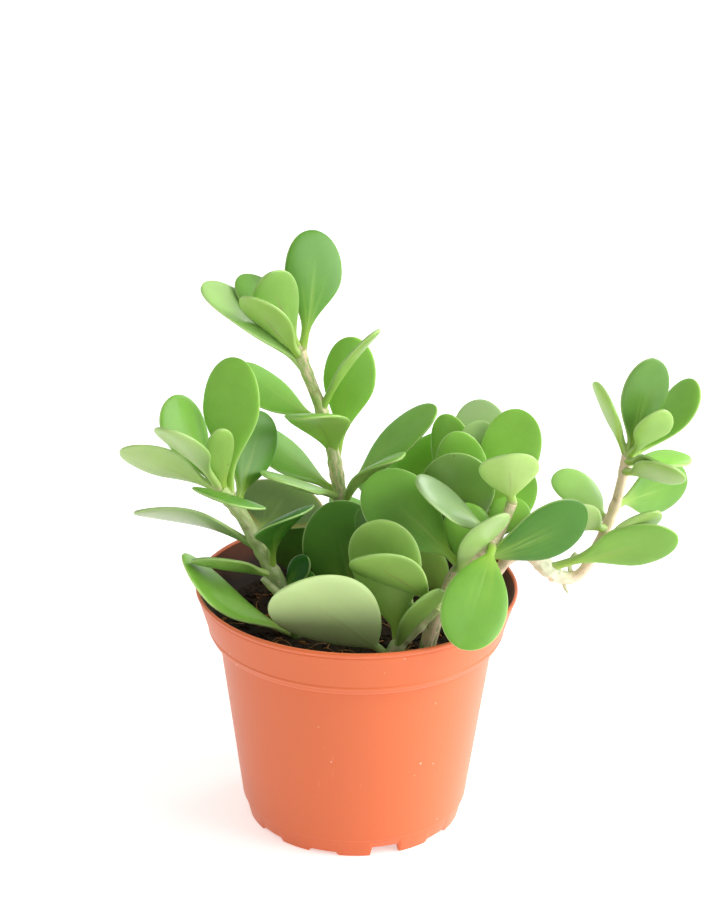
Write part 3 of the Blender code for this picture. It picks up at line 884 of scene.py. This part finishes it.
def sweepTube(bm, path, radiusAt, sides, mark):
    # a circle is extruded along the path, and every ring is put in its place
    ring = list(bmesh.ops.create_circle(bm, cap_ends=False, segments=sides, radius=1.0)["verts"])
    firstRing = list(ring)
    turns = [math.atan2(vert.co.y, vert.co.x) for vert in ring]
    made = set(ring)
    edges = [edge for edge in bm.edges if made.issuperset(edge.verts)]
    over = Vector((1.0, 0.0, 0.0))
    for i, point in enumerate(path):
        if i:
            grown = bmesh.ops.extrude_edge_only(bm, edges=edges)["geom"]
            newVerts = {item for item in grown if isinstance(item, bmesh.types.BMVert)}
            edges = [item for item in grown if isinstance(item, bmesh.types.BMEdge)
                     and newVerts.issuperset(item.verts)]
            ring = [
                next(edge.other_vert(vert) for edge in vert.link_edges
                     if edge.other_vert(vert) in newVerts)
                for vert in ring]
        ahead = directionAt(path, i)
        # carried on from the last ring, so that the tube doesn't twist
        over = (over - over.dot(ahead) * ahead).normalized()
        right = ahead.cross(over)
        for vert, turn in zip(ring, turns):
            radius = radiusAt(i / (len(path) - 1), turn)
            vert.co = point + radius * (math.cos(turn) * right + math.sin(turn) * over)
            mark(vert, i / (len(path) - 1), turn)
    for end in (firstRing, ring):
        bmesh.ops.contextual_create(bm, geom=end)


# leaves. Shares are along the leaf from its base
leafShape = {
    "around": 28,
    "along": 44,
    "thickness": 2.6,
    "petiole": 3.0,
    "bladeStart": 0.16,
    "widest": 0.66,
    "taper": 1.35,
    "tipRoundness": 2.2,
    "fold": math.tan(math.radians(4)),
    "foldStart": 0.1,
    "foldFull": 0.4,
    "foldBalance": 0.35,
    "foldSoftness": 0.12,
    "foldRange": (-0.1, 1.3),
    "edgeFullness": 0.8,
    "tipThinning": 0.45,
    "waviness": 0.35,
    "waveRange": (0.4, 1.0),
    "waveTurns": 9,
    "waveSlant": 1.5,
    "lean": 0.04,
    "footFlare": 0.35,
    "footReach": 2.5,
}


def bladeHalfWidth(share, width, taper):
    if share >= leafShape["widest"]:
        rest = (share - leafShape["widest"]) / (1 - leafShape["widest"])
        return width / 2 * math.sqrt(max(0.0, 1 - rest ** leafShape["tipRoundness"]))
    petiole = leafShape["petiole"] / width
    start = leafShape["bladeStart"]
    grown = max(0.0, share - start) / (leafShape["widest"] - start)
    return width / 2 * (petiole + (1 - petiole) * math.sin(math.pi / 2 * grown) ** taper)


def addLeaf(bm, layers, base, stemAhead, leaf, draw):
    _, heading, rise, roll, length, width, bend, tone, rib, bloomAndSheen, *more = leaf
    taper = more[0] if more else leafShape["taper"]
    heading, rise, roll, bend = (math.radians(angle) for angle in (heading, rise, roll, bend))
    flat = Vector((math.cos(heading), math.sin(heading), 0.0))
    along = math.cos(rise) * flat + math.sin(rise) * Vector((0.0, 0.0, 1.0))
    upright = math.cos(rise) * Vector((0.0, 0.0, 1.0)) - math.sin(rise) * flat
    up = math.cos(roll) * upright + math.sin(roll) * along.cross(upright)
    side = along.cross(up)
    arc = length / (2 * math.sin(bend / 2))

    # the upper side is the one that looks along the stem, towards its tip
    upperSign = 1.0 if up.dot(stemAhead - stemAhead.dot(along) * along) >= 0 else -1.0
    fold = leafShape["fold"] * draw.uniform(*leafShape["foldRange"])
    wave = leafShape["waviness"] * draw.uniform(*leafShape["waveRange"])
    phase = draw.uniform(0, math.tau)
    lean = draw.uniform(-leafShape["lean"], leafShape["lean"])

    ball = bmesh.ops.create_uvsphere(
        bm, u_segments=leafShape["around"], v_segments=leafShape["along"], radius=1.0)
    for vert in ball["verts"]:
        x, y, z = vert.co
        ring = math.hypot(x, y)
        share = (1 - z) / 2
        across, over = (x / ring, y / ring) if ring > 1e-5 else (0.0, 0.0)
        half = bladeHalfWidth(share, width, taper)
        flare = 1 + leafShape["footFlare"] * math.exp(-share * length / leafShape["footReach"])
        thick = leafShape["thickness"] / 2
        if share > leafShape["widest"]:
            thick *= (2 * half / width) ** leafShape["tipThinning"]
        folded = share - leafShape["foldStart"]
        folded = min(1.0, max(0.0, folded / (leafShape["foldFull"] - leafShape["foldStart"])))
        out = across * half * flare
        soft = leafShape["foldSoftness"] * half
        lift = (math.hypot(out, soft) - leafShape["foldBalance"] * half) * fold * folded
        ripple = leafShape["waveTurns"] * share + phase + leafShape["waveSlant"] * across
        lift += wave * folded * across**2 * math.sin(ripple)
        body = math.copysign(abs(over) ** leafShape["edgeFullness"], over) * thick * flare
        angle = bend * (share - 0.5)
        centre = base + along * arc * (math.sin(angle) + math.sin(bend / 2))
        centre += up * arc * (math.cos(angle) - math.cos(bend / 2))
        face = up * math.cos(angle) + along * math.sin(angle)
        vert.co = centre + side * (out + lean * width * folded * share) + face * (lift + body)
        vert[layers["place"]] = (across, share, over * upperSign)
        vert[layers["edge"]] = (1 - abs(across)) * half
        vert[layers["tone"]] = (tone, rib, bloomAndSheen)


def makeShoot(name, shoot, seed):
    draw = random.Random(seed)
    path, length = smoothPath([Vector(point) for point in shoot["stem"]], stemShape["step"])
    foot, tip = shoot["radii"]
    bm = bmesh.new()
    layers = {
        "place": bm.verts.layers.float_vector.new("leafPlace"),
        "tone": bm.verts.layers.float_vector.new("leafTone"),
        "edge": bm.verts.layers.float.new("leafEdge"),
        "stem": bm.verts.layers.float_vector.new("stemPlace"),
        "bark": bm.verts.layers.float_vector.new("stemTone"),
    }

    # leaf nodes swell the stem, and fallen leaves left scars between them
    nodes = [leaf[0] * length for leaf in shoot["leaves"]]
    scars = []
    reach = stemShape["firstScar"]
    while reach < length - stemShape["scarEnd"]:
        if all(abs(reach - node) > stemShape["scarClearance"] for node in nodes):
            scars.append((reach, draw.uniform(-math.pi, math.pi)))
        reach += stemShape["scarSpacing"] * draw.uniform(0.7, 1.3)

    def swellAt(distance):
        nearest = min(abs(distance - node) for node in nodes)
        return stemShape["nodeSwell"] * math.exp(-(nearest / stemShape["nodeReach"]) ** 2)

    def scarAt(distance, turn):
        depth = 0.0
        for reach, direction in scars:
            aside = (turn - direction + math.pi) % math.tau - math.pi
            bow = (distance - reach + stemShape["scarBow"] * aside**2) / stemShape["scarHeight"]
            depth = max(depth, math.exp(-(bow**2) - (aside / stemShape["scarWidth"]) ** 4))
        return depth

    def knotAt(distance):
        # a swollen root knot, where the shoot has one
        middle, reach = shoot.get("knot", (0, 0))
        return math.exp(-(((distance - middle * length) / reach) ** 4)) if reach else 0.0

    def radiusAt(share, turn):
        distance = share * length
        radius = foot + (tip - foot) * share
        lump = noise.noise(Vector((math.cos(turn), math.sin(turn), distance * 0.25 + seed * 7)))
        knob = noise.noise(Vector((1.4 * math.cos(turn), 1.4 * math.sin(turn), distance * 0.45)))
        radius *= 1 + swellAt(distance) + stemShape["unevenness"] * lump
        radius *= 1 + knotAt(distance) * (stemShape["knotSwell"] + stemShape["knotLumps"] * knob)
        return radius * (1 - stemShape["scarDepth"] * scarAt(distance, turn))

    def mark(vert, share, turn):
        distance = share * length
        vert[layers["stem"]] = (turn / math.tau, distance, share)
        vert[layers["bark"]] = (shoot["blush"], knotAt(distance), scarAt(distance, turn))

    sweepTube(bm, path, radiusAt, stemShape["sides"], mark)

    # roots in the air, and the stubs of cut stems
    for points, start, end, green, pale in shoot.get("stubs", []):
        stub, reach = smoothPath([Vector(point) for point in points], stemShape["stubStep"])

        def markStub(vert, share, turn):
            vert[layers["stem"]] = (turn / math.tau, share * reach, green)
            vert[layers["bark"]] = (0.0, pale, 0.0)

        sweepTube(
            bm, stub, lambda share, turn: start + (end - start) * share,
            stemShape["stubSides"], markStub)
    for face in bm.faces:
        face.material_index = 1
    for leaf in shoot["leaves"]:
        i = round(leaf[0] * (len(path) - 1))
        addLeaf(bm, layers, path[i], directionAt(path, i), leaf, draw)
    placeOnPot(bm)
    node = name.replace("Shoot", "_shoot")
    finishPiece(name, bm, [leafSkin, stemBark], node)


for seed, (name, shoot) in enumerate(shoots.items()):
    makeShoot(name, shoot, seed)
print("shoots made")


# soil: a lumpy dome with crumbs, bark chips and fibres on it, sizes in mm
soil = {
    "edgeHeight": 74.4,
    "crownHeight": 76,
    "edgeRadius": 49.6,
    "bankRadius": 53.3,
    "bankSlope": 0.5,
    "footRadius": 41.3,
    "footHeight": 9.6,
    # up the wall and over the ledge (radius, height)
    "wall": [(49.5, 73.2), (49.7, 74.9), (53.3, 75.9)],
    "rings": 46,
    "steps": 160,
    "lumpHeight": 1.2,
    "lumpSize": 11,
    "grainHeight": 0.5,
    "grainSize": 2.2,
    "edgeGap": 0.6,
    "stemGap": 0.6,
    "seed": 41,
    "bitShapes": 14,
    "bitRoughness": (0.72, 1.2),
    "bitTilt": 0.4,
    "crumbs": 900,
    "crumbSize": (0.5, 1.3),
    "crumbSink": 0.2,
    "chips": 120,
    "chipSize": (1.4, 3.4),
    "chipSink": 0.15,
    "fibres": 70,
    "fibreLength": (5, 13),
    "fibreCurl": 0.12,
    "fibreArch": 0.8,
    "fibreLift": 0.35,
    "fibreRadius": (0.12, 0.28),
    "fibrePoints": 9,
    "fibreSides": 6,
    "fibreEdgeGap": 9,
    "fibreStemGap": 2.0,
}


def soilHeight(x, y):
    rise = soil["crownHeight"] - soil["edgeHeight"]
    radius = math.hypot(x, y)
    share = min(1.0, radius / soil["edgeRadius"])
    height = soil["edgeHeight"] + rise * (1 - share**2)
    # a bank of soil leans on the pot's wall
    height += max(0.0, radius - soil["edgeRadius"]) * soil["bankSlope"]
    fade = max(0.0, 1 - (radius / soil["bankRadius"]) ** 8)
    lump = noise.noise(Vector((x, y, height)) / soil["lumpSize"]) * soil["lumpHeight"]
    grain = noise.noise(Vector((x, y, 3.0)) / soil["grainSize"]) * soil["grainHeight"]
    return height + (lump + grain) * fade


def makeSoil():
    above = soil["crownHeight"] + 4  # the surface is spun up here, then lowered
    profile = [Vector((0, soil["footHeight"])), Vector((soil["footRadius"], soil["footHeight"]))]
    profile += [Vector(point) for point in soil["wall"]]
    for k in range(soil["rings"] + 1):
        profile.append(Vector((soil["bankRadius"] * (1 - k / soil["rings"]), above)))
    bm = spinProfile(profile, soil["steps"])
    for vert in bm.verts:
        if vert.co.z > above - 1:
            vert.co.z = soilHeight(vert.co.x, vert.co.y)
    placeOnPot(bm)
    finishPiece("potSoil", bm, [soilCrust], "soil", crease=60)


def isOnStem(x, y, clearance):
    for shoot in shoots.values():
        footX, footY = shoot["stem"][1][:2]
        if math.hypot(x - footX, y - footY) <= shoot["radii"][0] + clearance:
            return True
    return False


def scatterPlace(draw, margin, clearance):
    # a place on the crust that no stem stands in
    while True:
        radius = (soil["bankRadius"] - margin) * math.sqrt(draw.random())
        angle = draw.uniform(0, math.tau)
        x, y = radius * math.cos(angle), radius * math.sin(angle)
        if not isOnStem(x, y, clearance):
            return Vector((x, y, soilHeight(x, y)))


def makeBits(draw, shapeOf):
    bits = []
    for _ in range(soil["bitShapes"]):
        one = bmesh.new()
        bmesh.ops.create_icosphere(one, subdivisions=1, radius=1.0)
        for vert in one.verts:
            vert.co *= draw.uniform(*soil["bitRoughness"])
        bmesh.ops.scale(one, vec=shapeOf(draw), verts=one.verts)
        mesh = bpy.data.meshes.new("soilBit")
        one.to_mesh(mesh)
        one.free()
        bits.append(mesh)
    return bits


def scatterBits(bm, draw, count, sizes, shapeOf, sink):
    # a few bits are shaped, and each one is laid down many times
    bits = makeBits(draw, shapeOf)
    for _ in range(count):
        size = draw.uniform(*sizes)
        place = scatterPlace(draw, size + soil["edgeGap"], size + soil["stemGap"])
        place.z += size * sink
        turn = Matrix.Rotation(draw.uniform(0, math.tau), 4, "Z")
        tilt = Matrix.Rotation(draw.gauss(0, soil["bitTilt"]), 4, "X")
        bit = draw.choice(bits).copy()
        bit.transform(Matrix.Translation(place) @ turn @ tilt @ Matrix.Scale(size, 4))
        bm.from_mesh(bit)
        bpy.data.meshes.remove(bit)
    for bit in bits:
        bpy.data.meshes.remove(bit)


def crumbShape(draw):
    return 1, draw.uniform(0.7, 1), draw.uniform(0.5, 0.9)


def chipShape(draw):
    return 1, draw.uniform(0.35, 0.6), draw.uniform(0.15, 0.3)


def makeSoilCrumbs(draw):
    bm = bmesh.new()
    scatterBits(bm, draw, soil["crumbs"], soil["crumbSize"], crumbShape, soil["crumbSink"])
    before = set(bm.faces)
    scatterBits(bm, draw, soil["chips"], soil["chipSize"], chipShape, soil["chipSink"])
    for face in bm.faces:
        if face not in before:
            face.material_index = 1
    placeOnPot(bm)
    finishPiece("soilCrumbs", bm, [soilCrumb, barkChip], crease=35)


def makeSoilFibres(draw):
    bm = bmesh.new()
    count = soil["fibrePoints"]
    for _ in range(soil["fibres"]):
        length = draw.uniform(*soil["fibreLength"])
        heading = draw.uniform(0, math.tau)
        curl = draw.uniform(-soil["fibreCurl"], soil["fibreCurl"])
        start = scatterPlace(draw, soil["fibreEdgeGap"], soil["fibreStemGap"])
        path = []
        for k in range(count):
            point = start.copy()
            arch = soil["fibreArch"] * math.sin(math.pi * k / (count - 1))
            point.z = soilHeight(start.x, start.y) + soil["fibreLift"] + arch
            path.append(point)
            heading += curl * 2
            start += Vector((math.cos(heading), math.sin(heading), 0)) * length / count
            if start.xy.length > soil["edgeRadius"] - 1:
                break
        if len(path) > 3:
            thick = draw.uniform(*soil["fibreRadius"])
            sweepTube(
                bm, path, lambda share, turn: thick * (1.05 - 0.6 * share),
                soil["fibreSides"], lambda *_: None)
    placeOnPot(bm)
    finishPiece("soilFibres", bm, [rootFibre])


makeSoil()
soilDraw = random.Random(soil["seed"])
makeSoilCrumbs(soilDraw)
makeSoilFibres(soilDraw)
print("soil made")


# studio: a pale floor, a white sweep behind with the darker room in front, and soft windows
# to the right and behind

studio = {
    "floorSize": 16.0,
    "floorDrop": 0.1 * mm,
    "floorColour": (0.86, 0.86, 0.85),
    "floorBounce": 0.36,
    "floorGlow": 0.14,
    "glowColour": (0.985, 0.985, 0.965, 1.0),
    "mottle": {"Broad Scale": 6.0, "Fine Scale": 700.0, "Broad": 0.01, "Fine": 0.015},
    "skyColour": (1.0, 1.0, 1.0, 1.0),
    "sweepStrength": 0.68,
    "sweepEdge": -0.15,
    "roomStrength": 0.48,
    "roomEdge": -0.8,
    "lights": {
        "sideWindow": {"place": (1.72, -0.35, 1.0), "size": 2.0, "power": 50.0},
        "backWindow": {"place": (1.45, 1.43, 0.92), "size": 1.0, "power": 13.0},
    },
    "lightAim": (0, 0, 0.1),
}


def makeFloor():
    bm = bmesh.new()
    bmesh.ops.create_grid(bm, x_segments=8, y_segments=8, size=studio["floorSize"] / 2)
    bmesh.ops.translate(bm, vec=(0, 0, -studio["floorDrop"]), verts=bm.verts)
    mesh = bpy.data.meshes.new("studioFloor")
    bm.to_mesh(mesh)
    bm.free()
    material, tree, paper = newMaterial("paperFloor")
    mottle = useGroup(tree, mottleGroup, {"Vector": objectPlace(tree), **studio["mottle"]})
    tree.links.new(shadeColour(tree, studio["floorColour"], mottle["Value"]), paper["Base Color"])
    # the bright sheet throws light up at the plant, and is overexposed where it is seen
    seen = addNode(tree, "ShaderNodeLightPath").outputs["Is Camera Ray"]
    glow = times(tree, seen, studio["floorGlow"])
    tree.links.new(plus(tree, glow, studio["floorBounce"]), paper["Emission Strength"])
    setValues(paper, {
        "Roughness": 0.7, "Specular IOR Level": 0.2, "Emission Color": studio["glowColour"]})
    mesh.materials.append(material)
    floor = bpy.data.objects.new("studioFloor", mesh)
    bpy.context.scene.collection.objects.link(floor)


def makeLights():
    world = bpy.data.worlds.new("whiteRoom")
    world.use_nodes = True
    tree = world.node_tree
    depth = splitVector(tree, addNode(tree, "ShaderNodeTexCoord").outputs["Generated"])[1]
    strength = stepNode(
        tree, depth, studio["sweepEdge"], studio["roomEdge"],
        studio["sweepStrength"], studio["roomStrength"])
    background = tree.nodes["Background"].inputs
    tree.links.new(strength, background["Strength"])
    background["Color"].default_value = studio["skyColour"]
    bpy.context.scene.world = world
    for name, values in studio["lights"].items():
        light = bpy.data.lights.new(name, "AREA")
        light.shape = "DISK"
        light.size = values["size"]
        light.energy = values["power"]
        window = bpy.data.objects.new(name, light)
        window.location = values["place"]
        toPlant = Vector(studio["lightAim"]) - window.location
        window.rotation_euler = toPlant.to_track_quat("-Z", "Y").to_euler()
        bpy.context.scene.collection.objects.link(window)


# camera, fitted to the photograph's view of the pot
view = {
    "lens": 90.0,
    "sensor": 36.0,
    "distance": 818 * mm,
    "elevation": 21.54,
    "roll": 0.81,
    "target": (0.5 * mm, 0.0, 145.8 * mm),
}


def makeCamera():
    elevation, roll = math.radians(view["elevation"]), math.radians(view["roll"])
    back = Vector((0.0, -math.cos(elevation), math.sin(elevation)))
    level = Vector((1.0, 0.0, 0.0))
    rising = Vector((0.0, math.sin(elevation), math.cos(elevation)))
    right = math.cos(roll) * level + math.sin(roll) * rising
    upward = -math.sin(roll) * level + math.cos(roll) * rising
    lens = bpy.data.cameras.new("plantCamera")
    lens.lens = view["lens"]
    lens.sensor_width = view["sensor"]
    camera = bpy.data.objects.new("plantCamera", lens)
    place = Matrix((right, upward, back)).transposed().to_4x4()
    place.translation = potAxis + Vector(view["target"]) + back * view["distance"]
    camera.matrix_world = place
    bpy.context.scene.collection.objects.link(camera)
    bpy.context.scene.camera = camera


makeFloor()
makeLights()
makeCamera()
bpy.context.scene.view_settings.view_transform = "Standard"
print("studio made")
